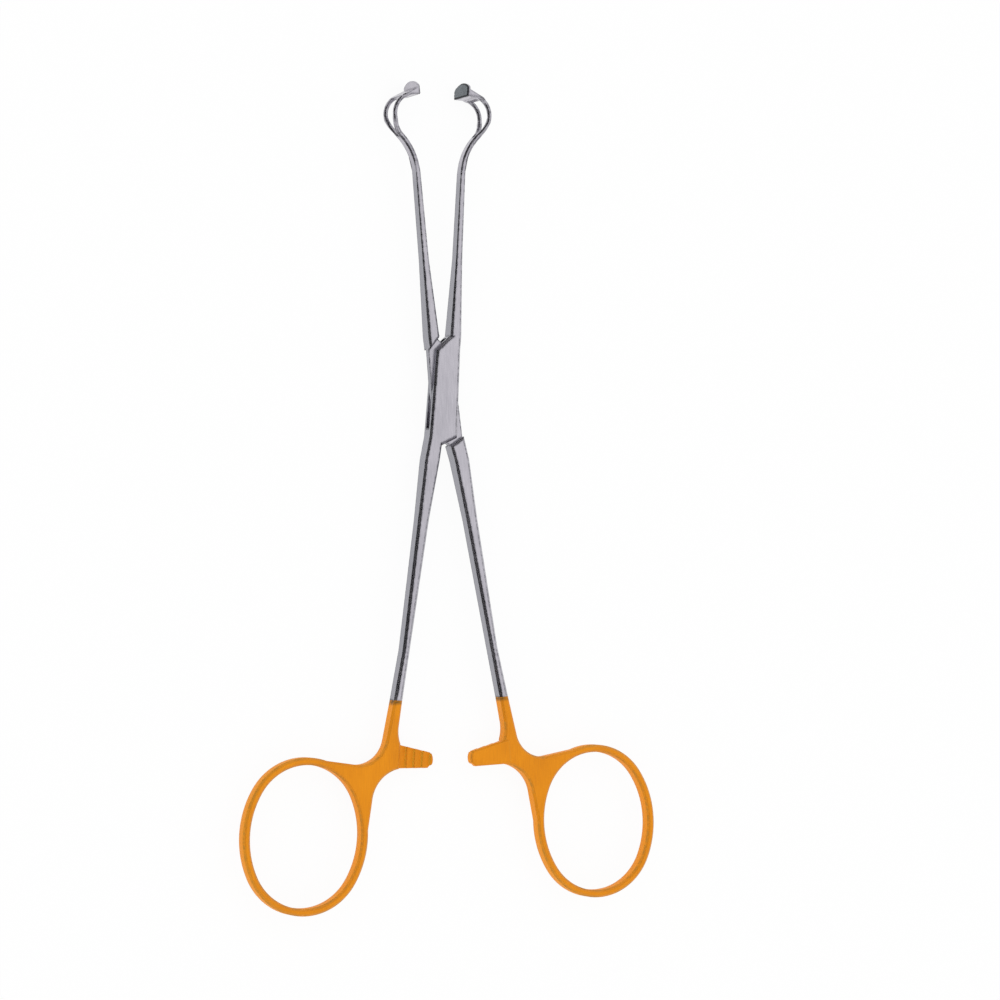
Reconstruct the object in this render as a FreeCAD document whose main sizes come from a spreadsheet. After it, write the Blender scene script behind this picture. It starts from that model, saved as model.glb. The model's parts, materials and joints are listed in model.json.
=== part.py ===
import FreeCAD, Part
import math
import os
import re

import Sketcher

# Babcock tissue forceps, 200 mm class, millimetres, +Z up.
# It lies flat: X runs across it, +Y towards the jaws, and the pivot axis is Z.
# Every piece is drawn about the middle plane and lifted, so z = 0 is the lower flat of the box.
# The female half carries the right jaw, the box of the lock and the left ring handle.
# The male half carries the left jaw, the thin waist inside the box and the right ring handle.
# Both halves are drawn closed and stand open at rest, each turned by half of the rest opening.
# Outlines are written for the female half, whose jaw is on +X, and flipped for the male half.

SIZES = {
    # rest pose
    "rest_opening": 9.7,
    # box lock
    "box_depth": 4.2,
    "web_depth": 1.6,
    "web_clearance": 0.03,
    "parting_gap": 0.12,
    "wall_gap": 0.12,
    "waist_half": 3.3,
    "waist_flare": 0.25,
    "upper_shoulder_side": 10.2,
    "upper_shoulder_rise": 2.8,
    "lower_shoulder_side": 10.7,
    "lower_shoulder_rise": 2.1,
    "shoulder_past": 0.3,
    "slot_wall_drop": 4.0,
    "box_top": 13.6,
    "box_bottom": 16.5,
    "box_chamfer": 0.45,
    "shoulder_chamfer": 0.7,
    "root_chamfer": 0.5,
    "pin_diameter": 2.4,
    "pin_fit": 0.02,
    "web_sink": 0.5,
    # jaw shank
    "shank_knee": 32.0,
    "shank_root_centre": 1.75,
    "shank_root_width": 2.8,
    "shank_knee_centre": 1.68,
    "shank_knee_width": 1.6,
    "shank_knee_depth": 2.8,
    "shank_bevel": 0.25,
    # jaw loop
    "stem_offset": 1.42,
    "stem_depth": 2.5,
    "stem_thick": 1.16,
    "prong_thick": 0.94,
    "flare_radius": 14.0,
    "bulge_radius": 6.5,
    "bulge_reach": 6.74,
    "bulge_drop": 7.9,
    "crown_radius": 4.75,
    "crown_turn": 68.0,
    "fork_half_top": 3.65,
    "fork_half_low": 3.2,
    "fork_low_drop": 9.0,
    "stem_drop": 12.1,
    "window_half_top": 2.5,
    "window_half_low": 2.2,
    "window_top_drop": 3.7,
    "window_low_drop": 7.9,
    "notch_drop": 12.7,
    "notch_radius": 0.3,
    # gripping pad
    "pad_tip": 74.6,
    "pad_length": 8.0,
    "pad_height": 3.5,
    "pad_crown": 7.3,
    "pad_corner": 0.8,
    "bar_thick": 0.4,
    "insert_thick": 0.35,
    "bite_gap": 0.03,
    # handle shank
    "handle_root_centre": 2.5,
    "handle_root_width": 3.7,
    "handle_knee": 31.0,
    "handle_knee_centre": 3.78,
    "handle_knee_width": 2.75,
    "handle_waist": 62.0,
    "handle_waist_centre": 6.25,
    "handle_waist_width": 1.85,
    "handle_depth": 3.6,
    "handle_bevel": 0.55,
    "plating_up": 32.95,
    "plating_centre": 7.65,
    "plating_width": 2.15,
    # ring handle
    "ring_centre": 29.1,
    "ring_station": 106.95,
    "ring_half_wide": 14.9,
    "ring_half_high": 17.65,
    "ring_end_less": 0.9,
    "band_thick": 1.75,
    "band_lap": 0.3,
    # flares between the shank, the ring and the ratchet arm
    "neck_in": 0.5,
    "neck_drop": 6.0,
    "neck_radius": 8.8,
    "flare_out": 1.35,
    "flare_drop": 9.5,
    "crotch_across": 17.0,
    "crotch_up": 17.3,
    "crotch_radius": 7.05,
    "crotch_turn": 86.0,
    "throat_across": 12.8,
    "throat_up": 8.85,
    "throat_radius": 8.5,
    # ratchet
    "arm_across": 6.4,
    "arm_root_up": 22.75,
    "arm_width": 5.9,
    "arm_reach": 2.75,
    "arm_tip_drop": 1.7,
    "arm_tip_rise": 0.5,
    "arm_tip_bulge": 3.0,
    "arm_depth": 2.1,
    "arm_bevel": 0.35,
    "arm_sink": 1.0,
    "arm_corner": 1.0,
    "arm_tip_lean": 0.5,
    "tooth_pitch": 2.1,
    "tooth_count": 4,
    "tooth_land": 0.35,
    "tooth_height": 0.6,
    "tooth_gap": 0.06,
}

# Lengths closer than this count as equal.
NEAR = 1e-4
# A side of the waist is long where it rises this many times as much as it runs across.
STEEP = 2.5

doc = FreeCAD.newDocument("babcock_forceps")
sheet = doc.addObject("Spreadsheet::Sheet", "dims")
for row, (name, number) in enumerate(SIZES.items(), start=1):
    sheet.set("A%d" % row, name)
    sheet.set("B%d" % row, str(number))
    sheet.setAlias("B%d" % row, name)
doc.recompute()


def formula(text):
    """The text with every size name pointing at its cell in the sheet."""
    return re.sub(r"[a-z_]+", lambda word: "dims." + word[0] if word[0] in SIZES else word[0], text)


def value(text):
    """The number that a formula of size names gives now."""
    result = sheet.evalExpression(formula(text))
    return float(getattr(result, "Value", result))


def bind(thing, path, text):
    """Drives one property of an object with a formula."""
    thing.setExpression(path, formula(text))


def origin_plane(body, role):
    """One of the body's own origin planes."""
    for feature in body.Origin.OriginFeatures:
        if feature.Role == role:
            return feature


def new_body(label):
    """An empty body with its label."""
    body = doc.addObject("PartDesign::Body", label)
    body.Label = label
    return body


def new_sketch(body, name, role, shift="0", across="0"):
    """A sketch on an origin plane, moved along the plane's normal and across it by formulas."""
    sketch = body.newObject("Sketcher::SketchObject", name)
    sketch.AttachmentSupport = [(origin_plane(body, role), "")]
    sketch.MapMode = "FlatFace"
    offset = FreeCAD.Vector(value(across), 0, value(shift))
    sketch.AttachmentOffset = FreeCAD.Placement(offset, FreeCAD.Rotation())
    bind(sketch, "AttachmentOffset.Base.x", across)
    bind(sketch, "AttachmentOffset.Base.z", shift)
    return sketch


def place_point(sketch, index, spot, across, up):
    """Ties one point of a curve to formulas measured from the sketch's origin."""
    for kind, text in (("DistanceX", across), ("DistanceY", up)):
        number = sketch.addConstraint(Sketcher.Constraint(kind, -1, 1, index, spot, value(text)))
        bind(sketch, "Constraints[%d]" % number, text)


def arc_between(start, end, radius, side):
    """The short arc from start to end, with its centre on the left for side 1, right for -1."""
    chord = end - start
    middle = (start + end) * 0.5
    lift = math.sqrt(max(radius ** 2 - (chord.Length / 2) ** 2, 0.0))
    left = FreeCAD.Vector(-chord.y, chord.x, 0).normalize()
    centre = middle + left * (lift * side)
    first, last = (start, end) if side > 0 else (end, start)
    circle = Part.Circle(centre, FreeCAD.Vector(0, 0, 1), radius)
    angles = [math.atan2(p.y - centre.y, p.x - centre.x) for p in (first, last)]
    if angles[1] < angles[0]:
        angles[1] += 2 * math.pi
    return Part.ArcOfCircle(circle, angles[0], angles[1])


def outline(sketch, corners):
    """A closed outline. A corner is (x, y), or (x, y, radius, side) where an arc leaves it."""
    points = [FreeCAD.Vector(value(c[0]), value(c[1]), 0) for c in corners]
    ends = []
    first = sketch.GeometryCount
    for number, corner in enumerate(corners):
        start = points[number]
        end = points[(number + 1) % len(points)]
        if len(corner) == 2:
            sketch.addGeometry(Part.LineSegment(start, end), False)
            ends.append((1, 2))
        else:
            sketch.addGeometry(arc_between(start, end, value(corner[2]), corner[3]), False)
            ends.append((1, 2) if corner[3] > 0 else (2, 1))
    for number, corner in enumerate(corners):
        after = (number + 1) % len(corners)
        join = Sketcher.Constraint("Coincident", first + number, ends[number][1], first + after, ends[after][0])
        sketch.addConstraint(join)
    for number, corner in enumerate(corners):
        place_point(sketch, first + number, ends[number][0], corner[0], corner[1])
        if len(corner) > 2:
            size = sketch.addConstraint(Sketcher.Constraint("Radius", first + number, value(corner[2])))
            bind(sketch, "Constraints[%d]" % size, corner[2])


def flip(corners, side):
    """The outline as it is for side 1, and mirrored across the centre line for side -1."""
    if side > 0:
        return corners
    flipped = []
    for corner in corners:
        mirrored = ("-(%s)" % corner[0], corner[1])
        if len(corner) > 2:
            mirrored += (corner[2], -corner[3])
        flipped.append(mirrored)
    return flipped


def pad(body, sketch, length, reverse=False, middle=True):
    """Adds the sketch's outline as a plate."""
    feature = body.newObject("PartDesign::Pad", sketch.Name + "_pad")
    feature.Profile = sketch
    feature.Midplane = middle
    feature.Reversed = reverse
    feature.Length = value(length)
    bind(feature, "Length", length)
    doc.recompute()
    return feature


def pocket(body, sketch, length, reverse=False, middle=True):
    """Cuts the sketch's outline away and makes sure that it removes something."""
    before = body.Shape.Volume
    feature = body.newObject("PartDesign::Pocket", sketch.Name + "_pocket")
    feature.Profile = sketch
    feature.Midplane = middle
    feature.Reversed = reverse
    feature.Length = value(length)
    bind(feature, "Length", length)
    doc.recompute()
    if body.Shape.Volume > before - NEAR:
        raise RuntimeError(sketch.Name + " removed nothing")
    return feature


def octagon(sketch, centre, width, depth, bevel):
    """Draws a bevelled rectangle about a point on the sketch's level axis."""
    wide = "(%s) / 2" % width
    deep = "(%s) / 2" % depth
    trim = "(%s)" % bevel
    corners = []
    for x_sign, z_sign, level_first in ((1, 1, False), (-1, 1, True), (-1, -1, False), (1, -1, True)):
        on_side = ("(%s) + %d * (%s)" % (centre, x_sign, wide), "%d * (%s - %s)" % (z_sign, deep, trim))
        on_level = ("(%s) + %d * (%s - %s)" % (centre, x_sign, wide, trim), "%d * (%s)" % (z_sign, deep))
        corners += [on_level, on_side] if level_first else [on_side, on_level]
    outline(sketch, corners)


def section_at(body, name, station, centre, width, depth, bevel):
    """A bevelled rectangle across the instrument at one station along Y."""
    sketch = new_sketch(body, name, "XZ_Plane", "-(%s)" % station)
    octagon(sketch, centre, width, depth, bevel)
    return sketch


def loft(body, name, sections):
    """A ruled body through the sections, so that the bevels stay flat."""
    feature = body.newObject("PartDesign::AdditiveLoft", name)
    feature.Profile = sections[0]
    feature.Sections = sections[1:]
    feature.Ruled = True
    doc.recompute()
    return feature


# The jaw loop in plan: a band of one thickness that leaves the stem, flares out, bulges and
# comes back over the crown to the bar behind the gripping insert.
FLARE_X = "(stem_offset + flare_radius)"
CROWN_X = "(bulge_reach - crown_radius)"
SWING = "acos((stem_offset + flare_radius - bulge_reach + bulge_radius) / (flare_radius + bulge_radius))"
BULGE_UP = "(pad_tip - bulge_drop)"
FORK_BASE = "(%s - (flare_radius + bulge_radius) * sin(%s))" % (BULGE_UP, SWING)
INSERT_BACK = "(bite_gap + insert_thick)"
BAR_BACK = "(bite_gap + insert_thick + bar_thick)"
PAD_FOOT = "(pad_tip - pad_height)"
HALF_BAND = "prong_thick / 2"
HALF_STEM = "stem_thick / 2"


def band_point(centre_x, centre_y, radius, turn):
    """A point at an angle on one of the band's arcs."""
    return ("%s + (%s) * cos(%s)" % (centre_x, radius, turn), "%s + (%s) * sin(%s)" % (centre_y, radius, turn))


def sweep_radius(low, high):
    """Radius of the arc that rises from the low point and stands upright at the high point."""
    across = "(%s - (%s))" % (high[0], low[0])
    rise = "(%s - (%s))" % (high[1], low[1])
    return "((%s ^ 2 + %s ^ 2) / (2 * %s))" % (across, rise, across)


def loop_outline():
    """The jaw's plan outline from the stem round to the bar and back."""
    outer_flare = "flare_radius - " + HALF_STEM
    inner_flare = "flare_radius + " + HALF_STEM
    outer_crown = "crown_radius + " + HALF_BAND
    inner_crown = "crown_radius - " + HALF_BAND
    turn_back = "180 deg - " + SWING
    outer_swing = band_point(FLARE_X, FORK_BASE, outer_flare, turn_back)
    inner_swing = band_point(FLARE_X, FORK_BASE, inner_flare, turn_back)
    outer_widest = ("bulge_reach + " + HALF_BAND, BULGE_UP)
    inner_widest = ("bulge_reach - " + HALF_BAND, BULGE_UP)
    outer_crown_end = band_point(CROWN_X, BULGE_UP, outer_crown, "crown_turn")
    inner_crown_end = band_point(CROWN_X, BULGE_UP, inner_crown, "crown_turn")
    rise = "tan(90 - crown_turn)"
    bar_join = "%s + (%s - %s) * %s" % (outer_crown_end[1], outer_crown_end[0], BAR_BACK, rise)
    foot_join = "%s - (%s - (%s)) / %s" % (inner_crown_end[0], PAD_FOOT, inner_crown_end[1], rise)
    return [
        ("stem_offset + " + HALF_STEM, FORK_BASE, outer_flare, -1),
        outer_swing + (sweep_radius(outer_swing, outer_widest), 1),
        outer_widest + (outer_crown, 1),
        outer_crown_end,
        (BAR_BACK, bar_join),
        (BAR_BACK, "pad_tip"),
        (INSERT_BACK, "pad_tip"),
        (INSERT_BACK, PAD_FOOT),
        (foot_join, PAD_FOOT),
        inner_crown_end + (inner_crown, -1),
        inner_widest + (sweep_radius(inner_swing, inner_widest), -1),
        inner_swing + (inner_flare, 1),
        ("stem_offset - " + HALF_STEM, FORK_BASE),
    ]


def add_fork(body, side):
    """The fenestrated jaw: the plan band cut to the fork's outline and window."""
    plan = new_sketch(body, "loop_plan", "XY_Plane")
    outline(plan, flip(loop_outline(), side))
    pad(body, plan, "pad_length")
    past = "pad_length"
    fork_low = "pad_tip - fork_low_drop"
    stem_top = "pad_tip - stem_drop"
    for sign, name in ((1, "upper"), (-1, "lower")):
        relief = new_sketch(body, name + "_relief", "YZ_Plane")
        corners = [
            (PAD_FOOT, "%d * pad_length / 2" % sign),
            (PAD_FOOT + " - (pad_length / 2 - fork_half_top)", "%d * fork_half_top" % sign),
            (fork_low, "%d * fork_half_low" % sign),
            (stem_top, "%d * stem_depth / 2" % sign),
            (FORK_BASE, "%d * stem_depth / 2" % sign),
            (FORK_BASE, "%d * %s" % (sign, past)),
            (PAD_FOOT, "%d * %s" % (sign, past)),
        ]
        outline(relief, corners)
        pocket(body, relief, "4 * (bulge_reach + prong_thick)")
    window = new_sketch(body, "window", "YZ_Plane")
    top = "pad_tip - window_top_drop"
    low = "pad_tip - window_low_drop"
    notch_round = "pad_tip - notch_drop + notch_radius"
    outline(window, [
        (top, "window_half_top"),
        (top, "-window_half_top"),
        (low, "-window_half_low"),
        (notch_round, "-notch_radius", "notch_radius", -1),
        ("pad_tip - notch_drop", "0", "notch_radius", -1),
        (notch_round, "notch_radius"),
        (low, "window_half_low"),
    ])
    pocket(body, window, "4 * (bulge_reach + prong_thick)")
    trim = new_sketch(body, "tip_trim", "YZ_Plane")
    beyond = "(pad_tip + %s)" % past
    outline(trim, tip_edge() + [
        (PAD_SIDE_TOP, past),
        (beyond, past),
        (beyond, "-(%s)" % past),
        (PAD_SIDE_TOP, "-(%s)" % past),
    ])
    pocket(body, trim, "4 * (bulge_reach + prong_thick)")


# The far edge of the gripping pad, seen from the other jaw: a shallow crown between two corners.
CORNER_ACROSS = "(pad_length / 2 - pad_corner)"
CORNER_UP = "sqrt((pad_crown - pad_corner) ^ 2 - %s ^ 2)" % CORNER_ACROSS
CROWN_SHARE = "pad_crown / (pad_crown - pad_corner)"
PAD_SIDE_TOP = "pad_tip - pad_crown + " + CORNER_UP
CROWN_END_UP = "pad_tip - pad_crown + %s * %s" % (CORNER_UP, CROWN_SHARE)
CROWN_END_ACROSS = "%s * %s" % (CORNER_ACROSS, CROWN_SHARE)


def tip_edge():
    """The corners and arcs of the pad's far edge, from the lower flat to the upper one."""
    return [
        (PAD_SIDE_TOP, "-pad_length / 2", "pad_corner", 1),
        (CROWN_END_UP, "-" + CROWN_END_ACROSS, "pad_crown", 1),
        (CROWN_END_UP, CROWN_END_ACROSS, "pad_corner", 1),
        (PAD_SIDE_TOP, "pad_length / 2"),
    ]


def add_jaw_shank(body, side):
    """The slender shank from the box to the stem of the jaw."""
    sections = []
    stations = (
        (FORK_BASE, "stem_offset", "stem_thick", "stem_depth", "shank_bevel / 2"),
        ("shank_knee", "shank_knee_centre", "shank_knee_width", "shank_knee_depth", "shank_bevel"),
        ("box_top", "shank_root_centre", "shank_root_width", "box_depth", "box_chamfer"),
    )
    for number, (station, centre, width, depth, bevel) in enumerate(stations):
        name = "jaw_section_%d" % number
        sections.append(section_at(body, name, station, "%d * %s" % (side, centre), width, depth, bevel))
    loft(body, "jaw_shank", sections)


# Stations of the handle, all measured up from the middle of the finger ring.
PLATING_LINE = "(ring_station - plating_up)"
CROTCH_STATION = "(ring_station - crotch_up)"
THROAT_STATION = "(ring_station - throat_up)"
ARM_ROOT = "(ring_station - arm_root_up)"
ARM_FOOT = "(%s + arm_width)" % ARM_ROOT


def add_handle_shank(body, side):
    """The octagonal shank from the box to the plating line."""
    sections = []
    stations = (
        ("box_bottom", "handle_root_centre", "handle_root_width", "box_depth", "box_chamfer"),
        ("handle_knee", "handle_knee_centre", "handle_knee_width", "handle_depth", "handle_bevel"),
        ("handle_waist", "handle_waist_centre", "handle_waist_width", "handle_depth", "handle_bevel"),
        (PLATING_LINE, "plating_centre", "plating_width", "handle_depth", "handle_bevel"),
    )
    for number, (station, centre, width, depth, bevel) in enumerate(stations):
        name = "handle_section_%d" % number
        sections.append(section_at(body, name, "-" + station, "%d * %s" % (-side, centre), width, depth, bevel))
    loft(body, "handle_shank", sections)


# The waist of the lock in plan. Its sides flare towards the handles. The two shoulders are the
# slanting lines where one half ends and the other goes on, drawn here for the closed lock.
WAIST_TOP = "waist_half - waist_flare * upper_shoulder_side / lower_shoulder_side"
WAIST_LOW = "waist_half + waist_flare"
UPPER_INNER = ("-shoulder_past", "upper_shoulder_side + upper_shoulder_rise")
UPPER_OUTER = ("-(%s)" % WAIST_TOP, "upper_shoulder_side")
LOWER_OUTER = (WAIST_LOW, "-lower_shoulder_side")
LOWER_INNER = ("-shoulder_past", "-(lower_shoulder_side + lower_shoulder_rise)")
JAW_ROOT_OUT = "shank_root_centre + shank_root_width / 2"
JAW_ROOT_IN = "shank_root_centre - shank_root_width / 2"
HANDLE_ROOT_OUT = "handle_root_centre + handle_root_width / 2"
HANDLE_ROOT_IN = "handle_root_centre - handle_root_width / 2"


def chamfer_flats(body, name, depth, size, test):
    """Chamfers the edges on both flats of a plate that the test picks by their two ends."""
    tip = body.Tip
    names = []
    for number, edge in enumerate(tip.Shape.Edges, start=1):
        ends = [vertex.Point for vertex in edge.Vertexes]
        on_flat = len(ends) == 2 and abs(abs(ends[0].z) - value(depth) / 2) < NEAR
        if on_flat and abs(ends[0].z - ends[1].z) < NEAR and test(ends):
            names.append("Edge%d" % number)
    feature = body.newObject("PartDesign::Chamfer", name)
    feature.Base = (tip, names)
    feature.Size = value(size)
    bind(feature, "Size", size)
    doc.recompute()


def is_long_side(ends):
    """True for an edge of the waist that runs along the instrument."""
    return abs(ends[0].y - ends[1].y) > STEEP * abs(ends[0].x - ends[1].x)


def is_shoulder(ends):
    """True for a slanting edge between the two halves."""
    return not is_long_side(ends) and max(abs(end.y) for end in ends) < value("box_top") - NEAR


def is_low_shoulder(ends):
    """True for a shoulder's edge on the handle's side of the pivot."""
    return is_shoulder(ends) and max(end.y for end in ends) < 0


def is_long_lower_side(ends):
    """True for a long side on the handle's side of the pivot."""
    return is_long_side(ends) and max(end.y for end in ends) < 0


def female_half():
    """Right jaw, box with its slot, and left shank."""
    body = new_body("female_half")
    block = new_sketch(body, "box_plan", "XY_Plane")
    outline(block, [
        (JAW_ROOT_OUT, "box_top"),
        (JAW_ROOT_IN, "box_top"),
        UPPER_INNER,
        UPPER_OUTER,
        ("-(%s)" % WAIST_LOW, "-lower_shoulder_side"),
        ("-(%s)" % HANDLE_ROOT_OUT, "-box_bottom"),
        ("-(%s)" % HANDLE_ROOT_IN, "-box_bottom"),
        LOWER_INNER,
        LOWER_OUTER,
        (WAIST_TOP, "upper_shoulder_side"),
    ])
    pad(body, block, "box_depth")
    chamfer_flats(body, "shoulder_edges", "box_depth", "shoulder_chamfer", is_shoulder)
    chamfer_flats(body, "box_edges", "box_depth", "box_chamfer", is_long_side)
    add_jaw_shank(body, 1)
    add_fork(body, 1)
    add_handle_shank(body, 1)
    slot = new_sketch(body, "slot_plan", "XY_Plane")
    clear = "2 * waist_half"
    outline(slot, [
        UPPER_INNER,
        ("-(%s)" % clear, "upper_shoulder_side + 2 * upper_shoulder_rise"),
        ("-(%s)" % clear, "-(lower_shoulder_side + lower_shoulder_rise - slot_wall_drop)"),
        ("-(%s)" % WAIST_LOW, "-(lower_shoulder_side + lower_shoulder_rise - slot_wall_drop)"),
        LOWER_INNER,
        (clear, "-(lower_shoulder_side + 2 * lower_shoulder_rise)"),
        (clear, "upper_shoulder_side + upper_shoulder_rise - slot_wall_drop"),
        (WAIST_TOP, "upper_shoulder_side + upper_shoulder_rise - slot_wall_drop"),
    ])
    pocket(body, slot, "web_depth")
    bore(body, "pin_diameter")
    return body


def bore(body, diameter):
    """The hole for the pivot pin."""
    sketch = new_sketch(body, "pin_bore", "XY_Plane")
    sketch.addGeometry(Part.Circle(FreeCAD.Vector(), FreeCAD.Vector(0, 0, 1), value(diameter) / 2), False)
    sketch.addConstraint(Sketcher.Constraint("Coincident", 0, 3, -1, 1))
    size = sketch.addConstraint(Sketcher.Constraint("Diameter", 0, value(diameter)))
    bind(sketch, "Constraints[%d]" % size, diameter)
    pocket(body, sketch, "2 * box_depth")


def shifted(corner, across, up):
    """A corner moved by two formulas."""
    return ("%s + (%s)" % (corner[0], across), "%s + (%s)" % (corner[1], up))


def male_half():
    """Left jaw, thin waist through the box, and right shank."""
    body = new_body("male_half")
    upper = new_sketch(body, "upper_root_plan", "XY_Plane")
    upper_inner = shifted(UPPER_INNER, "-parting_gap", "parting_gap")
    upper_outer = shifted(UPPER_OUTER, "0", "2 * parting_gap")
    outline(upper, [
        ("-(%s)" % JAW_ROOT_OUT, "box_top"),
        upper_outer,
        upper_inner,
        ("-(%s)" % JAW_ROOT_IN, "box_top"),
    ])
    pad(body, upper, "box_depth")
    chamfer_flats(body, "upper_root_shoulder", "box_depth", "root_chamfer", is_shoulder)
    chamfer_flats(body, "upper_root_sides", "box_depth", "box_chamfer", is_long_side)
    add_jaw_shank(body, -1)
    add_fork(body, -1)
    lower = new_sketch(body, "lower_root_plan", "XY_Plane")
    lower_outer = shifted(LOWER_OUTER, "0", "-2 * parting_gap")
    lower_inner = shifted(LOWER_INNER, "2 * parting_gap", "-parting_gap")
    web = new_sketch(body, "web_plan", "XY_Plane")
    outline(web, [
        upper_inner,
        shifted(upper_inner, "-web_sink", "web_sink"),
        shifted(upper_outer, "web_sink / 2", "web_sink"),
        upper_outer,
        UPPER_OUTER,
        ("-(%s)" % WAIST_LOW, "-(lower_shoulder_side + lower_shoulder_rise - slot_wall_drop) + wall_gap"),
        shifted(LOWER_INNER, "2 * parting_gap", "wall_gap"),
        lower_inner,
        shifted(lower_inner, "web_sink", "-web_sink"),
        shifted(lower_outer, "-web_sink", "-web_sink"),
        lower_outer,
        (WAIST_TOP, "upper_shoulder_side + upper_shoulder_rise - slot_wall_drop - wall_gap"),
        shifted(UPPER_INNER, "-parting_gap", "-wall_gap"),
    ])
    pad(body, web, "web_depth - 2 * web_clearance")
    outline(lower, [
        lower_outer,
        (HANDLE_ROOT_OUT, "-box_bottom"),
        (HANDLE_ROOT_IN, "-box_bottom"),
        lower_inner,
    ])
    pad(body, lower, "box_depth")
    chamfer_flats(body, "lower_root_shoulder", "box_depth", "root_chamfer", is_low_shoulder)
    chamfer_flats(body, "lower_root_sides", "box_depth", "box_chamfer", is_long_lower_side)
    add_handle_shank(body, -1)
    bore(body, "pin_diameter + 2 * pin_fit")
    return body


def pivot_pin():
    """The pin, ground flush with both flats of the box."""
    body = new_body("pivot_pin")
    sketch = new_sketch(body, "pin_round", "XY_Plane")
    sketch.addGeometry(Part.Circle(FreeCAD.Vector(), FreeCAD.Vector(0, 0, 1), value("pin_diameter") / 2), False)
    sketch.addConstraint(Sketcher.Constraint("Coincident", 0, 3, -1, 1))
    size = sketch.addConstraint(Sketcher.Constraint("Diameter", 0, value("pin_diameter")))
    bind(sketch, "Constraints[%d]" % size, "pin_diameter")
    pad(body, sketch, "box_depth")
    return body


def jaw_insert(label, side):
    """The hard gripping plate on the inside of one jaw tip."""
    body = new_body(label)
    shift = "bite_gap" if side > 0 else "-bite_gap"
    sketch = new_sketch(body, "plate", "YZ_Plane", shift)
    foot_corners = [(PAD_FOOT, "pad_length / 2"), (PAD_FOOT, "-pad_length / 2")]
    outline(sketch, tip_edge() + foot_corners)
    pad(body, sketch, "insert_thick", reverse=side < 0, middle=False)
    return body


# The ring of a handle in plan: an oval of four tangent arcs along the middle of its band.
RING_Y = "(-ring_station)"
END_RADIUS = "(ring_half_wide - ring_end_less)"
END_LIFT = "(ring_half_high - %s)" % END_RADIUS
SIDE_RADIUS = "((ring_half_wide ^ 2 + %s ^ 2 - %s ^ 2) / (2 * ring_end_less))" % (END_LIFT, END_RADIUS)
SIDE_SHIFT = "(%s - ring_half_wide)" % SIDE_RADIUS
SIDE_TURN = "asin(%s / (%s - %s))" % (END_LIFT, SIDE_RADIUS, END_RADIUS)


def band_section(body, name, role, shift, across, radius):
    """The band's section in an upright plane that holds the axis of one arc."""
    sketch = new_sketch(body, name, role, shift, across)
    octagon(sketch, radius, "band_thick", "handle_depth", "handle_bevel")
    return sketch


def revolve(body, sketch, angle):
    """Turns a section about the upright axis through its sketch's origin, half of it each way."""
    feature = body.newObject("PartDesign::Revolution", sketch.Name + "_turn")
    feature.Profile = sketch
    feature.ReferenceAxis = (sketch, ["V_Axis"])
    feature.Midplane = True
    feature.Angle = value(angle)
    bind(feature, "Angle", angle)
    doc.recompute()


def add_ring(body, side):
    """The finger ring: the band turned round the four arcs of the oval."""
    centre = "%d * ring_centre" % -side
    for sign, name in ((1, "right"), (-1, "left")):
        axis = "%s - %d * %s" % (centre, sign, SIDE_SHIFT)
        radius = "%d * %s" % (sign, SIDE_RADIUS)
        section = band_section(body, name + "_band", "XZ_Plane", "ring_station", axis, radius)
        revolve(body, section, "2 * " + SIDE_TURN)
    for sign, name in ((1, "near"), (-1, "far")):
        axis = "%s + %d * %s" % (RING_Y, sign, END_LIFT)
        radius = "%d * %s" % (sign, END_RADIUS)
        section = band_section(body, name + "_band", "YZ_Plane", centre, axis, radius)
        revolve(body, section, "180 deg - 2 * " + SIDE_TURN)


def handle_outline():
    """Plan of the left plated shank, its flare into the ring and the root of the ratchet arm."""
    outer = "-(plating_centre + plating_width / 2)"
    inner = "-(plating_centre - plating_width / 2)"
    end_centre = "%s + %s" % (RING_Y, END_LIFT)
    in_wall = "(band_thick / 2 - band_lap)"
    return [
        (outer, "-" + PLATING_LINE),
        (outer + " - flare_out", "-(%s + flare_drop)" % PLATING_LINE, "crotch_radius", -1),
        ("-crotch_across", "-" + CROTCH_STATION),
        band_point("-ring_centre", end_centre, "%s + %s" % (END_RADIUS, in_wall), "crotch_turn"),
        band_point("-ring_centre", end_centre, END_RADIUS, "crotch_turn") + (END_RADIUS, -1),
        band_point("-ring_centre", end_centre, END_RADIUS, SIDE_TURN) + (SIDE_RADIUS, -1),
        ("-ring_centre + ring_half_wide", RING_Y),
        ("-ring_centre + ring_half_wide + " + in_wall, RING_Y),
        ("-throat_across", "-" + THROAT_STATION, "throat_radius", -1),
        ("-arm_across", "-" + ARM_FOOT),
        ("-arm_across", "-" + ARM_ROOT, "neck_radius", -1),
        (inner + " - neck_in", "-(%s + neck_drop)" % PLATING_LINE),
        (inner, "-" + PLATING_LINE),
    ]


def arm_outline():
    """Plan of the left ratchet arm, which reaches past the centre line."""
    return [
        ("-(arm_across + arm_sink)", "-" + ARM_ROOT),
        ("-(arm_across + arm_sink)", "-" + ARM_FOOT),
        ("arm_reach - arm_corner", "-(%s - arm_tip_rise)" % ARM_FOOT),
        ("arm_reach", "-(%s - arm_tip_rise - arm_corner)" % ARM_FOOT, "arm_tip_bulge", 1),
        ("arm_reach - arm_tip_lean", "-(%s + arm_tip_drop)" % ARM_ROOT),
    ]


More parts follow.
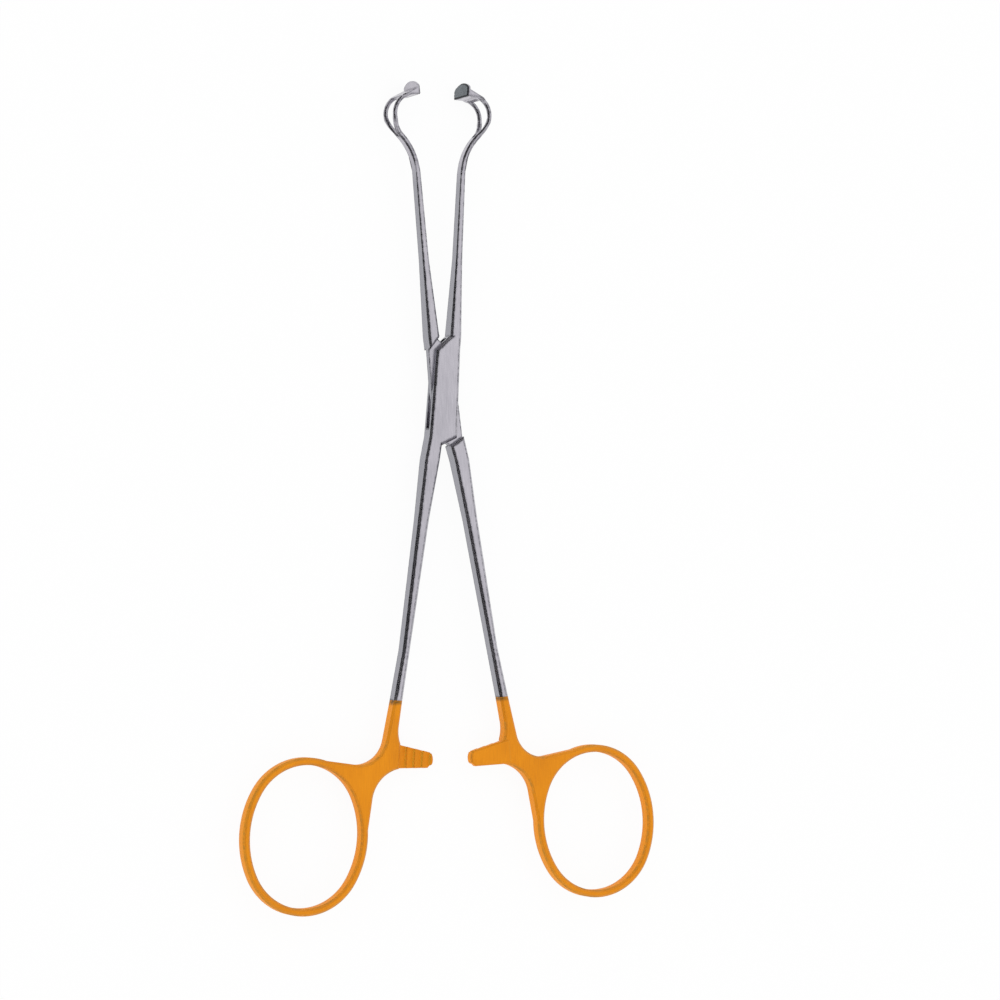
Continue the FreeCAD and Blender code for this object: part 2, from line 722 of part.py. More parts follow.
def add_ratchet(body, side):
    """The ratchet arm. The left one lies under the middle plane with its teeth up."""
    plan = new_sketch(body, "arm_plan", "XY_Plane", "%d * tooth_gap / -2" % side)
    outline(plan, flip(arm_outline(), side))
    pad(body, plan, "arm_depth", reverse=side > 0, middle=False)
    chamfer_flats(body, "arm_edges", "(tooth_gap + 2 * arm_depth)", "arm_bevel", is_arm_edge)
    notch = new_sketch(body, "tooth_notch", "XZ_Plane")
    tip = "arm_reach - tooth_land - tooth_pitch"
    foot = "arm_reach - tooth_land"
    outline(notch, flip([
        (tip, "%d * tooth_gap / -2" % side),
        (foot, "%d * (tooth_gap / -2 - tooth_height)" % side),
        (foot, "%d * tooth_gap / 2" % side),
        (tip, "%d * tooth_gap / 2" % side),
    ], side))
    cut = pocket(body, notch, "4 * ring_station")
    teeth = body.newObject("PartDesign::LinearPattern", "teeth")
    teeth.Originals = [cut]
    teeth.Direction = (origin_plane(body, "X_Axis"), [""])
    teeth.Reversed = side > 0
    teeth.Length = value("tooth_pitch * (tooth_count - 1)")
    teeth.Occurrences = SIZES["tooth_count"]
    bind(teeth, "Length", "tooth_pitch * (tooth_count - 1)")
    bind(teeth, "Occurrences", "tooth_count")
    body.Tip = teeth
    doc.recompute()


def is_arm_edge(ends):
    """True for an edge of the arm that the handle doesn't cover."""
    root = value("arm_across + arm_sink")
    return not all(abs(abs(end.x) - root) < NEAR for end in ends)


def is_open_edge(ends):
    """True for an edge of the handle's plan that neither the ring nor the shank covers."""
    ring_points = [FreeCAD.Vector(value(x), value(y), 0) for x, y, *arc in handle_outline()[3:8]]
    flat_ends = [FreeCAD.Vector(-abs(end.x), end.y, 0) for end in ends]
    covered = [any(end.distanceToPoint(point) < NEAR for point in ring_points) for end in flat_ends]
    at_plating_line = all(abs(end.y + value(PLATING_LINE)) < NEAR for end in ends)
    return not all(covered) and not at_plating_line


def ring_handle(label, side):
    """Plated end of one shank with its finger ring and its arm of the ratchet."""
    body = new_body(label)
    web = new_sketch(body, "handle_plan", "XY_Plane")
    outline(web, flip(handle_outline(), side))
    pad(body, web, "handle_depth")
    chamfer_flats(body, "handle_edges", "handle_depth", "handle_bevel", is_open_edge)
    add_ring(body, side)
    add_ratchet(body, side)
    return body


def lift(body, axis, angle):
    """Sets a body on the lower flat of the box and turns it about the pivot axis."""
    height = FreeCAD.Vector(0, 0, value("box_depth / 2"))
    body.Placement = FreeCAD.Placement(height, FreeCAD.Rotation(axis, value(angle)))
    bind(body, "Placement.Base.z", "box_depth / 2")
    bind(body, "Placement.Rotation.Angle", angle)


FEMALE = [female_half(), jaw_insert("female_jaw_insert", 1), ring_handle("female_ring_handle", 1)]
MALE = [male_half(), jaw_insert("male_jaw_insert", -1), ring_handle("male_ring_handle", -1)]
PIN = [pivot_pin()]
for pieces, turn_axis in ((FEMALE, -1), (MALE, 1), (PIN, -1)):
    for piece in pieces:
        lift(piece, FreeCAD.Vector(0, 0, turn_axis), "rest_opening / 2")
PARTS = FEMALE + MALE + PIN
doc.recompute()

for thing in doc.Objects:
    if "Invalid" in thing.State or "Error" in thing.State:
        raise RuntimeError("%s failed: %s" % (thing.Name, thing.State))
os.makedirs("parts", exist_ok=True)
for piece in PARTS:
    shape = piece.Shape
    if shape.isNull() or not shape.isValid() or len(shape.Solids) != 1:
        raise RuntimeError("%s has a bad shape" % piece.Label)
for piece in PARTS:
    piece.Shape.exportStep("parts/%s.step" % piece.Label)
    box = piece.Shape.BoundBox
    print("%-20s volume %8.2f  x %.2f %.2f  y %.2f %.2f  z %.2f %.2f" % (
        piece.Label, piece.Shape.Volume, box.XMin, box.XMax, box.YMin, box.YMax, box.ZMin, box.ZMax))
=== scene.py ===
import json
import math

import bmesh
import bpy
from mathutils import Matrix, Vector


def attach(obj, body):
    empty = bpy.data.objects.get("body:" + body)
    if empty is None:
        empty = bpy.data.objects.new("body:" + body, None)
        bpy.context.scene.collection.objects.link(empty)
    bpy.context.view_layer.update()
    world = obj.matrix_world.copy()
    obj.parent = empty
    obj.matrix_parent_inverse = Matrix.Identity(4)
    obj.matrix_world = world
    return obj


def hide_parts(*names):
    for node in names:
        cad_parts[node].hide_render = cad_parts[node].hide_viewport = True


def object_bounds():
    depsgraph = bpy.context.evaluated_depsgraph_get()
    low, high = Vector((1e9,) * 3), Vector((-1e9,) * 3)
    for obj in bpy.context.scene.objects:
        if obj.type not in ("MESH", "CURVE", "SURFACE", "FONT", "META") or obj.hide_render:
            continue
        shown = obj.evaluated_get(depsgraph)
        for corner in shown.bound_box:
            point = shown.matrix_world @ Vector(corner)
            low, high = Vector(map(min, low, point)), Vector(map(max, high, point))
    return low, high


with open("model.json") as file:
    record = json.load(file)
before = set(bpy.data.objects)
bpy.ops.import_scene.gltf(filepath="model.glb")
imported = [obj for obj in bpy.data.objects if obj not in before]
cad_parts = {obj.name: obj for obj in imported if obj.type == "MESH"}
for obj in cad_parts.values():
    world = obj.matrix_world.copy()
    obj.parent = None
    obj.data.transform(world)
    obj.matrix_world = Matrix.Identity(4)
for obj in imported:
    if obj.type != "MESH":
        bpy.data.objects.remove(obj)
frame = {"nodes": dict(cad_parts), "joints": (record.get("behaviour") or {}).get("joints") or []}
cad_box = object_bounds()
NODES = frame["nodes"]
MM = 0.001
WHITE = (1.0, 1.0, 1.0, 1.0)

# The jaws shut by turning one half in, and at rest each half stands out by half of that turn.
SHUT_TURN = frame["joints"][0]["range_deg"][0]
HALF_TURN = math.radians(-SHUT_TURN / 2)


def new_object(name, data):
    """An object in the scene, around a mesh or a camera."""
    made = bpy.data.objects.new(name, data)
    bpy.context.scene.collection.objects.link(made)
    return made


# Node trees

# On a Mix node the sockets for colours come after those for numbers and vectors.
MIX_FIRST = 6
MIX_SECOND = 7
MIX_RESULT = 2

# Nearly all of a noise lies between these values.
NOISE_LOW = 0.3
NOISE_HIGH = 0.7


def add(tree, kind, sockets=None, **settings):
    """Adds a node, with its settings and the values of its unlinked sockets."""
    made = tree.nodes.new(kind)
    for name, setting in settings.items():
        setattr(made, name, setting)
    for name, setting in (sockets or {}).items():
        made.inputs[name].default_value = setting
    return made


def new_material(name):
    """An empty node material with its output, ready for a shader."""
    material = bpy.data.materials.new(name)
    material.use_nodes = True
    tree = material.node_tree
    tree.nodes.clear()
    return material, tree, add(tree, "ShaderNodeOutputMaterial")


def link(tree, source, target):
    """Joins an output to an input."""
    tree.links.new(source, target)


def calculate(tree, operation, first, second=0.0):
    """A sum, root or the like of one or two values, each an output or a number."""
    made = add(tree, "ShaderNodeMath", operation=operation)
    for socket, part in zip(made.inputs, (first, second)):
        if isinstance(part, (int, float)):
            socket.default_value = part
        else:
            link(tree, part, socket)
    return made.outputs[0]


def product(tree, first, *others):
    """The product of two or more values, each an output or a number."""
    for other in others:
        first = calculate(tree, "MULTIPLY", first, other)
    return first


def span(tree, factor, low, high, from_low=NOISE_LOW, from_high=NOISE_HIGH):
    """A value mapped from one range to another and held inside it."""
    ends = {"From Min": from_low, "From Max": from_high, "To Min": low, "To Max": high}
    made = add(tree, "ShaderNodeMapRange", ends)
    link(tree, factor, made.inputs["Value"])
    return made.outputs[0]


def stretched_noise(tree, cells, detail, turn=0.0):
    """Noise in object space with so many cells per metre on each axis, turned about the pivot's axis."""
    place = add(tree, "ShaderNodeTexCoord")
    mapping = add(tree, "ShaderNodeMapping", {"Scale": cells, "Rotation": (0.0, 0.0, turn)})
    noise = add(tree, "ShaderNodeTexNoise", {"Scale": 1.0, "Detail": detail})
    link(tree, place.outputs["Object"], mapping.inputs["Vector"])
    link(tree, mapping.outputs[0], noise.inputs["Vector"])
    return noise.outputs["Fac"]


def ramp(tree, factor, positions, tones):
    """A colour ramp that has one of the tones at each position."""
    made = add(tree, "ShaderNodeValToRGB")
    stops = made.color_ramp.elements
    while len(stops) < len(tones):
        stops.new(0.5)
    for stop, position, tone in zip(stops, positions, tones):
        stop.position = position
        stop.color = (*tone, 1.0)
    link(tree, factor, made.inputs[0])
    return made.outputs[0]


def blend(tree, factor, colour, tone):
    """A colour mixed towards a fixed tone where the factor is high."""
    made = add(tree, "ShaderNodeMix", data_type="RGBA")
    made.inputs[MIX_SECOND].default_value = (*tone, 1.0)
    link(tree, factor, made.inputs["Factor"])
    link(tree, colour, made.inputs[MIX_FIRST])
    return made.outputs[MIX_RESULT]


def bump(tree, height, strength, distance):
    """A bump from a height."""
    made = add(tree, "ShaderNodeBump", {"Strength": strength, "Distance": distance})
    link(tree, height, made.inputs["Height"])
    return made.outputs[0]


# Masks

MASK_SAMPLES = 6

# How alike the rounded and the true normal are, at an edge and away from it.
EDGE_FULL = 0.965
EDGE_NONE = 0.994

# How open a place is, down in a groove and on a face, for the painted light in grooves.
CREVICE_REACH = 1.0 * MM
CREVICE_FULL = 0.5
CREVICE_NONE = 0.8

# How much a face looks up, on a wall and on a flat, for the painted wall shading.
WALL_FULL = 0.35
WALL_NONE = 0.6

# How much painted shading the walls take (painted shade on the steel, painted light on the gold), and where
# along the jaws it fades out.
PAINTED_WALL_SHARE = 0.75
PAINTED_WALL_END = (50.0 * MM, 56.0 * MM)

# From the pivot's axis: the pin is ground flush, so no edge shows round it.
FLUSH_SPAN = (1.9 * MM, 2.1 * MM)

# Along the jaws: where the pads start, and how much of the painted dark edge reflection they show.
PAD_SPAN = (71.9 * MM, 72.3 * MM)
PAD_EDGE_SHARE = 0.3

# How far the darker band runs down the plating from where it starts.
COLLAR = 1.3 * MM


def edge_mask(tree, reach):
    """One at the piece's own edges and creases, nought away from them."""
    rounded = add(tree, "ShaderNodeBevel", {"Radius": reach}, samples=MASK_SAMPLES)
    surface = add(tree, "ShaderNodeNewGeometry")
    alike = add(tree, "ShaderNodeVectorMath", operation="DOT_PRODUCT")
    link(tree, rounded.outputs[0], alike.inputs[0])
    link(tree, surface.outputs["True Normal"], alike.inputs[1])
    return span(tree, alike.outputs["Value"], 1.0, 0.0, EDGE_FULL, EDGE_NONE)


def painted_crevice_light_mask(tree):
    """One down in the piece's own narrow grooves, nought on its open faces: where painted light goes in the
    grooves.
    """
    closed = add(tree, "ShaderNodeAmbientOcclusion", {"Distance": CREVICE_REACH},
                 samples=MASK_SAMPLES, only_local=True)
    return span(tree, closed.outputs["AO"], 1.0, 0.0, CREVICE_FULL, CREVICE_NONE)


def painted_wall_shading_mask(tree, along):
    """Where the walls get painted shading: high on the walls of the lock and the shanks, nought on their
    flats and on the jaws.
    """
    facing = add(tree, "ShaderNodeSeparateXYZ")
    link(tree, add(tree, "ShaderNodeTexCoord").outputs["Normal"], facing.inputs[0])
    upright = calculate(tree, "ABSOLUTE", facing.outputs["Z"])
    wall = span(tree, upright, PAINTED_WALL_SHARE, 0.0, WALL_FULL, WALL_NONE)
    return product(tree, wall, span(tree, along, 1.0, 0.0, *PAINTED_WALL_END))


def collar_mask(tree, along, start):
    """One on the first stretch of a plating, next to where it starts, nought beyond it."""
    return span(tree, along, 0.0, 1.0, start - COLLAR, start - COLLAR / 2)


def pad_mask(tree, along):
    """One up to the pads, and low on them."""
    return span(tree, along, 1.0, PAD_EDGE_SHARE, *PAD_SPAN)


def flush_mask(tree, across, along):
    """Nought round the pin, one away from it."""
    squares = calculate(tree, "ADD", product(tree, across, across), product(tree, along, along))
    return span(tree, calculate(tree, "SQRT", squares), 0.0, 1.0, *FLUSH_SPAN)


# Metals

# Each pattern is its cells per metre along x, y and z, and its detail.
BRUSHING = ((9000.0, 260.0, 9000.0), 3.0)
CLOUDS = ((160.0, 90.0, 160.0), 4.0)
SCRATCHES = ((2600.0, 45.0, 2600.0), 1.0)
DASHES = ((500.0, 1100.0, 500.0), 1.0)

BRUSHING_SHARE = 0.6
CLOUD_SHARE = 0.4
SCRATCH_SHARE = 0.5
BUMP_HEIGHT = 0.02 * MM
TONE_STOPS = (0.32, 0.5, 0.68)

# How far the scratches turn from the brushing, in radians.
SCRATCH_TURN = 0.35

# Where the painted dark edge reflection is thin and where it is full in the dashes' noise, and how thin it
# gets.
DASH_SPAN = (0.4, 0.6)
DASH_THIN = 0.4

# The mesh attribute that says how deep a point lies in the cross-cut, and how much painted shade that puts on
# it.
GROOVE = "groove"
GROOVE_PAINTED_SHADE = 0.45

COLLAR_TONE = (0.20, 0.095, 0.012)

# A finish has three tones of polish, those of its painted dark edge reflection, painted wall shading and
# painted light in narrow grooves, how far the painted edge reaches from an edge, and the range of its
# roughness. gloss is its specular level, grain its bump.
STEEL_FINISH = {
    "tones": ((0.40, 0.388, 0.43), (0.485, 0.468, 0.515), (0.57, 0.55, 0.60)),
    # The near-black edges are a painted dark reflection.
    "painted_edge_reflection": (0.03, 0.032, 0.04),
    # The darker walls are painted shade.
    "painted_wall_shading": (0.28, 0.285, 0.315),
    "edge_reach": 0.6 * MM,
    "roughness": (0.20, 0.32),
    "metallic": 1.0,
    "gloss": 0.5,
    "grain": 0.25,
}
GOLD_FINISH = {
    "tones": ((0.66, 0.215, 0.001), (0.775, 0.265, 0.001), (0.86, 0.315, 0.004)),
    # The slightly darker edges are a painted dark reflection.
    "painted_edge_reflection": (0.62, 0.26, 0.02),
    # The lighter walls are painted light.
    "painted_wall_shading": (0.96, 0.355, 0.010),
    # The lighter, yellower grooves are painted light against the dark bounced light there.
    "painted_crevice_light": (0.80, 0.50, 0.05),
    "edge_reach": 0.15 * MM,
    "roughness": (0.50, 0.62),
    "metallic": 0.3,
    "gloss": 0.3,
    "grain": 0.15,
}
CARBIDE_FINISH = {
    "tones": ((0.21, 0.23, 0.245), (0.43, 0.46, 0.49), (0.57, 0.60, 0.63)),
    # The near-black edges are a painted dark reflection.
    "painted_edge_reflection": (0.02, 0.022, 0.026),
    "edge_reach": 0.02 * MM,
    "roughness": (0.45, 0.6),
    "metallic": 1.0,
    "gloss": 0.5,
    "grain": 0.4,
}
# The rim round the gripping face is near-black, a painted dark reflection along the plate's edge.
PAINTED_DARK_RIM = {
    **CARBIDE_FINISH,
    "tones": (CARBIDE_FINISH["painted_edge_reflection"], (0.035, 0.038, 0.042), (0.06, 0.064, 0.07)),
    "roughness": (0.35, 0.5),
    "grain": 0.3,
}


def metal_colour(tree, finish, shade, grain_turn, start):
    """The polish's tones with painted shade in the cross-cut's grooves, and over them painted shading on the
    walls, a painted dark reflection on the edges, painted light in narrow grooves and a darker band in dashes
    where a plating starts.
    """
    place = add(tree, "ShaderNodeSeparateXYZ")
    link(tree, add(tree, "ShaderNodeTexCoord").outputs["Object"], place.inputs[0])
    across = place.outputs["X"]
    along = place.outputs["Y"]
    # Painted shade: the deeper in the cross-cut's grooves, the darker.
    groove = add(tree, "ShaderNodeAttribute", attribute_name=GROOVE)
    shade = calculate(tree, "SUBTRACT", shade, product(tree, groove.outputs["Fac"], GROOVE_PAINTED_SHADE))
    colour = ramp(tree, shade, TONE_STOPS, finish["tones"])
    # Painted shade on the steel's walls and painted light on the gold's walls.
    if "painted_wall_shading" in finish:
        colour = blend(tree, painted_wall_shading_mask(tree, along), colour, finish["painted_wall_shading"])
    dashes = span(tree, stretched_noise(tree, *DASHES, grain_turn), DASH_THIN, 1.0, *DASH_SPAN)
    edges = edge_mask(tree, finish["edge_reach"])
    # Painted dark reflection along the edges, in dashes, weaker on the pads and none round the pin.
    painted_edge = product(tree, edges, dashes, pad_mask(tree, along), flush_mask(tree, across, along))
    colour = blend(tree, painted_edge, colour, finish["painted_edge_reflection"])
    # Painted light in the gold's narrow grooves.
    if "painted_crevice_light" in finish:
        colour = blend(tree, painted_crevice_light_mask(tree), colour, finish["painted_crevice_light"])
    if start is not None:
        darkened = product(tree, collar_mask(tree, along, start), dashes)
        colour = blend(tree, darkened, colour, COLLAR_TONE)
    return colour


def satin_metal(name, finish, grain_turn=0.0, start=None):
    """Brushed metal: grain along the instrument, cloudy polish, hairline scratches and a painted dark
    reflection along the edges, in dashes. start is where along the instrument a plating starts."""
    material, tree, out = new_material(name)
    brushed = stretched_noise(tree, *BRUSHING, grain_turn)
    scratches = stretched_noise(tree, *SCRATCHES, grain_turn + SCRATCH_TURN)
    cloudy = product(tree, stretched_noise(tree, *CLOUDS), CLOUD_SHARE)
    polish = calculate(tree, "ADD", product(tree, brushed, BRUSHING_SHARE), cloudy)
    lines = calculate(tree, "ADD", brushed, product(tree, scratches, SCRATCH_SHARE))
    sockets = {"Metallic": finish["metallic"], "Specular IOR Level": finish["gloss"]}
    shader = add(tree, "ShaderNodeBsdfPrincipled", sockets)
    link(tree, metal_colour(tree, finish, polish, grain_turn, start), shader.inputs["Base Color"])
    link(tree, span(tree, polish, *finish["roughness"]), shader.inputs["Roughness"])
    link(tree, bump(tree, lines, finish["grain"], BUMP_HEIGHT), shader.inputs["Normal"])
    link(tree, shader.outputs[0], out.inputs["Surface"])
    return material


def gold_plating(name, node_name, grain_turn):
    """Matt gold-coloured plating over one half's handle, darker in dashes where it meets the steel."""
    start = max(vert.co.y for vert in NODES[node_name].data.vertices)
    return satin_metal(name, GOLD_FINISH, grain_turn, start)


FEMALE_STEEL = satin_metal("satin_steel_female", STEEL_FINISH, HALF_TURN)
MALE_STEEL = satin_metal("satin_steel_male", STEEL_FINISH, -HALF_TURN)
FEMALE_GOLD = gold_plating("gold_plating_female", "female_ring_handle", HALF_TURN)
MALE_GOLD = gold_plating("gold_plating_male", "male_ring_handle", -HALF_TURN)
CARBIDE = satin_metal("hard_plate_metal", CARBIDE_FINISH)
CARBIDE_PAINTED_RIM = satin_metal("hard_plate_painted_dark_rim", PAINTED_DARK_RIM)


# Nodes from the frame

# The flats along the edges of the forked jaws: where they start, and where the pads' crowns end them.
FORK_START = 52.8 * MM
FORK_FULL = 54.0 * MM
CROWN_START = 70.6 * MM
CROWN_FULL = 71.4 * MM
FORK_EDGE = 0.3 * MM

# The least turn of an edge that is rounded, and of one that counts as square.
SHARP = math.radians(28.0)
SQUARE = math.radians(70.0)

# Points nearer than this are one, and faces that turn less than this are one flat.
SAME_POINT = 0.001 * MM
SAME_FLAT = math.radians(0.8)

STEEL_ROUND = 0.05 * MM
STEEL_ROUND_STEPS = 2
GOLD_ROUND = 0.12 * MM
GOLD_ROUND_STEPS = 3


def fork_edge_weights():
    """A geometry group that asks for a flat on the square edges of the forked jaws, but not on their pads."""
    group = bpy.data.node_groups.new("fork_edge_weights", "GeometryNodeTree")
    for way in ("INPUT", "OUTPUT"):
        group.interface.new_socket("Geometry", in_out=way, socket_type="NodeSocketGeometry")
    start = add(group, "NodeGroupInput")
    end = add(group, "NodeGroupOutput")
    place = add(group, "ShaderNodeSeparateXYZ")
    link(group, add(group, "GeometryNodeInputPosition").outputs[0], place.inputs[0])
    fork = span(group, place.outputs["Y"], 0.0, 1.0, FORK_START, FORK_FULL)
    crown = span(group, place.outputs["Y"], 1.0, 0.0, CROWN_START, CROWN_FULL)
    turn = add(group, "GeometryNodeInputMeshEdgeAngle").outputs["Signed Angle"]
    weight = product(group, fork, crown, calculate(group, "GREATER_THAN", turn, SQUARE))
    store = add(group, "GeometryNodeStoreNamedAttribute", {"Name": "bevel_weight_edge"},
                data_type="FLOAT", domain="EDGE")
    link(group, start.outputs[0], store.inputs["Geometry"])
    link(group, weight, store.inputs["Value"])
    link(group, store.outputs[0], end.inputs[0])
    return group


FORK_WEIGHTS = fork_edge_weights()


def flatten_edges(part, weights):
    """Cuts a narrow flat along the edges that the weights name."""
    part.modifiers.new("weights", "NODES").node_group = weights
    edge_flats = part.modifiers.new("edge_flats", "BEVEL")
    edge_flats.width = FORK_EDGE
    edge_flats.segments = 1
    edge_flats.limit_method = "WEIGHT"
    edge_flats.use_clamp_overlap = False


def round_edges(part, width, steps, sharp):
    """Rounds the edges that turn more than an angle."""
    rounds = part.modifiers.new("rounds", "BEVEL")
    rounds.width = width
    rounds.segments = steps
    rounds.limit_method = "ANGLE"
    rounds.angle_limit = sharp
    rounds.harden_normals = True


def finish_node(name, material, width=0.0, steps=0, sharp=SHARP, weights=None):
    """Gives a CAD node its material, rounded edges and smooth shading, with its mesh untouched."""
    part = NODES[name]
    part.data.materials.clear()
    part.data.materials.append(material)
    part.modifiers.new("weld", "WELD").merge_threshold = SAME_POINT
    flats = part.modifiers.new("flats", "DECIMATE")
    flats.decimate_type = "DISSOLVE"
    flats.angle_limit = SAME_FLAT
    if weights:
        flatten_edges(part, weights)
    if width:
        round_edges(part, width, steps, sharp)
    part.modifiers.new("normals", "WEIGHTED_NORMAL").keep_sharp = True


finish_node("female_half", FEMALE_STEEL, STEEL_ROUND, STEEL_ROUND_STEPS, weights=FORK_WEIGHTS)
finish_node("male_half", MALE_STEEL, STEEL_ROUND, STEEL_ROUND_STEPS, weights=FORK_WEIGHTS)
finish_node("pivot_pin", FEMALE_STEEL)
finish_node("female_ring_handle", FEMALE_GOLD, GOLD_ROUND, GOLD_ROUND_STEPS, SQUARE)
finish_node("male_ring_handle", MALE_GOLD, GOLD_ROUND, GOLD_ROUND_STEPS, SQUARE)


# Gripping plates

# The V grooves cross the plate's length at this angle, one way and the other.
CUT_PITCH = 0.57 * MM
CUT_DEPTH = 0.15 * MM
CUT_ANGLE = math.radians(45.0)
CUT_TOLERANCE = 0.0001 * MM

# The bevel round the gripping face, painted near-black as a dark reflection, and how straight a facet must
# look inward to be of the face.
RIM = 0.35 * MM
FRONT_FACING = 0.99


def bevelled_insert(node_name, inward):
    """A working copy of an insert's mesh with a bevelled rim round its gripping face."""
    work = bmesh.new()
    work.from_mesh(NODES[node_name].data)
    bmesh.ops.remove_doubles(work, verts=work.verts, dist=SAME_POINT)
    bmesh.ops.dissolve_limit(work, angle_limit=SAME_FLAT, verts=work.verts, edges=work.edges)
    face = max(work.faces, key=lambda side: side.normal.dot(inward) * side.calc_area())
    bmesh.ops.bevel(work, geom=face.edges[:], offset=RIM, offset_type="OFFSET", segments=1, affect="EDGES")
    return work


def slice_along(work, cut):
    """Slices the mesh at each ridge and each groove of the cuts that look one way."""
    half_pitch = CUT_PITCH / 2
    places = [vert.co.dot(cut) for vert in work.verts]
    for step in range(math.ceil(min(places) / half_pitch), math.floor(max(places) / half_pitch) + 1):
        parts = work.verts[:] + work.edges[:] + work.faces[:]
        place = cut * (step * half_pitch)
        bmesh.ops.bisect_plane(work, geom=parts, dist=CUT_TOLERANCE, plane_co=place, plane_no=cut)


def sink_grooves(work, cuts, front, inward):
    """Sinks the grooves into the front face, and returns how deep in them each point lies."""
    depths = []
    for vert in work.verts:
        deep = 0.0
        if front - vert.co.dot(inward) < SAME_POINT:
            waves = [abs((vert.co.dot(cut) / CUT_PITCH) % 1.0 - 0.5) * 2 for cut in cuts]
            deep = sum(waves) / len(waves)
            vert.co -= inward * (CUT_DEPTH * deep)
        depths.append(deep)
    return depths


def cross_cut_plate(name, node_name, body, inward):
    """The gripping plate with V grooves cut both ways across its face. inward is the way its face looks."""
    work = bevelled_insert(node_name, inward)
    front = max(vert.co.dot(inward) for vert in work.verts)
    along = Vector((-inward.y, inward.x, 0.0)).normalized()
    cuts = [Matrix.Rotation(turn, 3, inward) @ along for turn in (CUT_ANGLE, -CUT_ANGLE)]
    for cut in cuts:
        slice_along(work, cut)
    # Facets off the gripping face take the near-black rim, a painted dark reflection.
    for side in work.faces:
        side.material_index = 0 if side.normal.dot(inward) > FRONT_FACING else 1
    depths = sink_grooves(work, cuts, front, inward)
    mesh = bpy.data.meshes.new(name)
    work.to_mesh(mesh)
    work.free()
    mesh.materials.append(CARBIDE)
    mesh.materials.append(CARBIDE_PAINTED_RIM)
    mesh.attributes.new(GROOVE, "FLOAT", "POINT").data.foreach_set("value", depths)
    plate = new_object(name, mesh)
    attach(plate, body)
    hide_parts(node_name)


for half, side in (("female", -1), ("male", 1)):
    grip = Vector((side * math.cos(HALF_TURN), math.sin(HALF_TURN), 0.0))
    cross_cut_plate(half + "_cross_cut_plate", half + "_jaw_insert", half, grip)


# Studio

FLOOR_SIZE = 12.0
FLOOR_MIDDLE = (0.0, -30.0 * MM)
FLOOR_GAP = 0.2 * MM
FLOOR_GLOW = 0.93
PAPER_TONE = (0.94, 0.94, 0.94, 1.0)

# The dark cloth: its radius in metres, its turn round the instrument and its rise from it in degrees.
BAND_RADIUS = 1.4
BAND_TURN = (82.0, 236.0)
BAND_RISE = (8.0, 36.0)
BAND_STEPS = 24
BAND_TONE = (0.01, 0.01, 0.01, 1.0)


def floor_material():
    """White paper that shows the object's shadow faintly."""
    material, tree, out = new_material("studio_floor")
    paper = add(tree, "ShaderNodeBsdfDiffuse", {"Color": PAPER_TONE})
    glow = add(tree, "ShaderNodeEmission", {"Color": WHITE, "Strength": 1.0})
    path = add(tree, "ShaderNodeLightPath")
    seen = calculate(tree, "MAXIMUM", path.outputs["Is Camera Ray"], path.outputs["Is Glossy Ray"])
    seen = calculate(tree, "MAXIMUM", seen, path.outputs["Is Transmission Ray"])
    mix = add(tree, "ShaderNodeMixShader")
    link(tree, product(tree, seen, FLOOR_GLOW), mix.inputs[0])
    link(tree, paper.outputs[0], mix.inputs[1])
    link(tree, glow.outputs[0], mix.inputs[2])
    link(tree, mix.outputs[0], out.inputs["Surface"])
    return material


def paper_floor():
    """A large sheet of paper just under the instrument."""
    reach = FLOOR_SIZE / 2
    corners = [(-reach, -reach, 0), (reach, -reach, 0), (reach, reach, 0), (-reach, reach, 0)]
    mesh = bpy.data.meshes.new("floor")
    mesh.from_pydata(corners, [], [(0, 1, 2, 3)])
    mesh.materials.append(floor_material())
    floor = new_object("floor", mesh)
    floor.location = (*FLOOR_MIDDLE, cad_box[0].z - FLOOR_GAP)


def even_daylight():
    """White light from all round."""
    world = bpy.data.worlds.new("studio")
    world.use_nodes = True
    background = world.node_tree.nodes["Background"]
    background.inputs["Color"].default_value = WHITE
    background.inputs["Strength"].default_value = 1.0
    bpy.context.scene.world = world


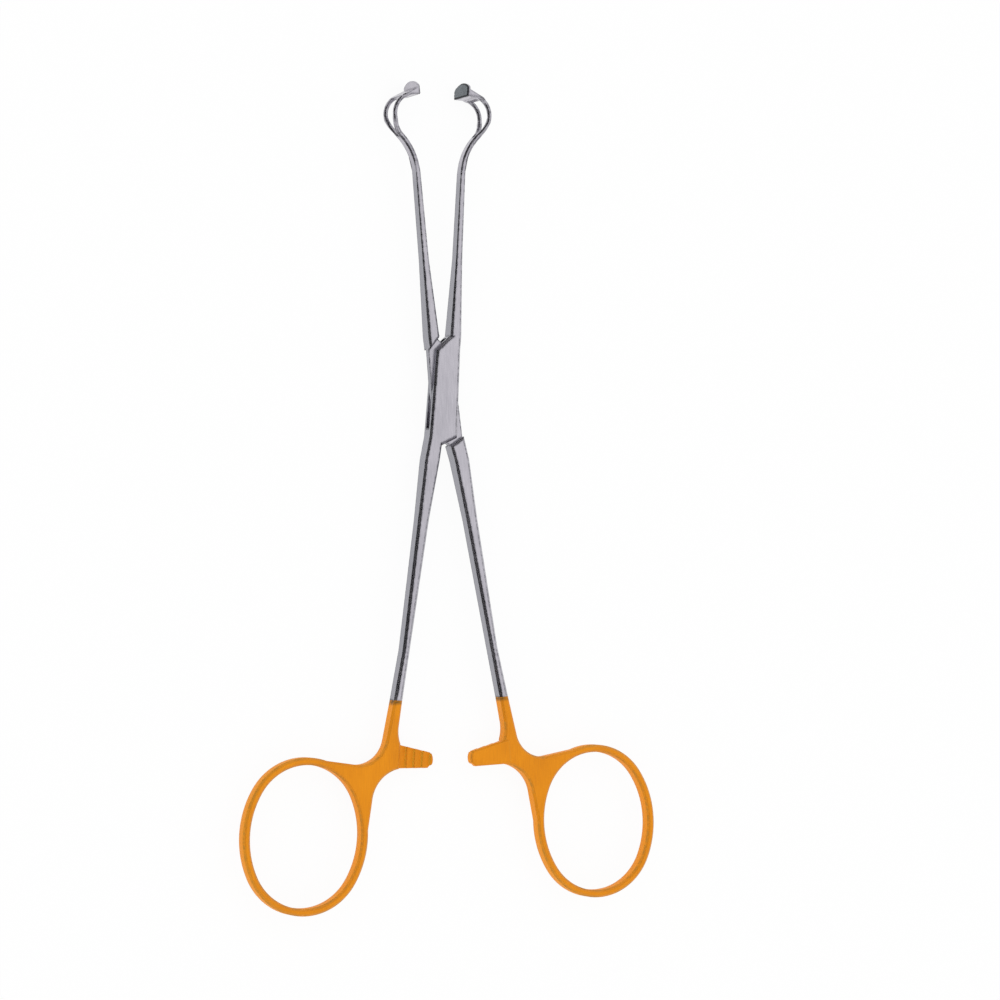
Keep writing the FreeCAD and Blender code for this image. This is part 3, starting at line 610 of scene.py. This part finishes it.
def dark_band(name):
    """A curved dark cloth on the instrument's left that only reflections see. It draws the edges black."""
    places = []
    for rise in BAND_RISE:
        level = BAND_RADIUS * math.cos(math.radians(rise))
        height = BAND_RADIUS * math.sin(math.radians(rise))
        for step in range(BAND_STEPS + 1):
            turn = math.radians(BAND_TURN[0] + (BAND_TURN[1] - BAND_TURN[0]) * step / BAND_STEPS)
            places.append((level * math.cos(turn), level * math.sin(turn), height))
    above = BAND_STEPS + 1
    faces = [(step, step + 1, step + 1 + above, step + above) for step in range(BAND_STEPS)]
    mesh = bpy.data.meshes.new(name)
    mesh.from_pydata(places, [], faces)
    material, tree, out = new_material(name + "_cloth")
    cloth = add(tree, "ShaderNodeEmission", {"Color": BAND_TONE})
    link(tree, cloth.outputs[0], out.inputs["Surface"])
    mesh.materials.append(material)
    band = new_object(name, mesh)
    band.visible_camera = False
    band.visible_diffuse = False
    band.visible_shadow = False


paper_floor()
even_daylight()
dark_band("left_band")


# Camera

# The photograph looks down on the instrument's upper flats, turned some 25 degrees to its left side.
YAW = math.radians(25.5)
PITCH = math.radians(1.0)
ROLL = math.radians(1.14)

# The pivot's place on its axis, how far the camera is from it, and where it shows from the picture's
# middle, to the right and up.
PIVOT = Vector(frame["joints"][0]["pos_m"])
DISTANCE = 848.0 * MM
PIVOT_RIGHT = -13.6 * MM
PIVOT_UP = 25.7 * MM
NEAREST = 0.01
FARTHEST = 50.0

# In the camera's own millimetres.
FOCAL_LENGTH = 127.7
SENSOR_WIDTH = 36.0


def photo_camera():
    """The camera at the photograph's viewing angle and distance."""
    data = bpy.data.cameras.new("photo_camera")
    data.sensor_width = SENSOR_WIDTH
    data.lens = FOCAL_LENGTH
    data.clip_start = NEAREST
    data.clip_end = FARTHEST
    camera = new_object("photo_camera", data)
    yaw = Matrix.Rotation(YAW, 3, "Y")
    pitch = Matrix.Rotation(-PITCH, 3, "X")
    roll = Matrix.Rotation(ROLL, 3, "Z")
    back = (roll @ pitch @ yaw).transposed()
    place = PIVOT + back @ Vector((-PIVOT_RIGHT, -PIVOT_UP, DISTANCE))
    camera.matrix_world = Matrix.Translation(place) @ back.to_4x4()
    bpy.context.scene.camera = camera


photo_camera()
bpy.context.scene.view_settings.view_transform = "Standard"
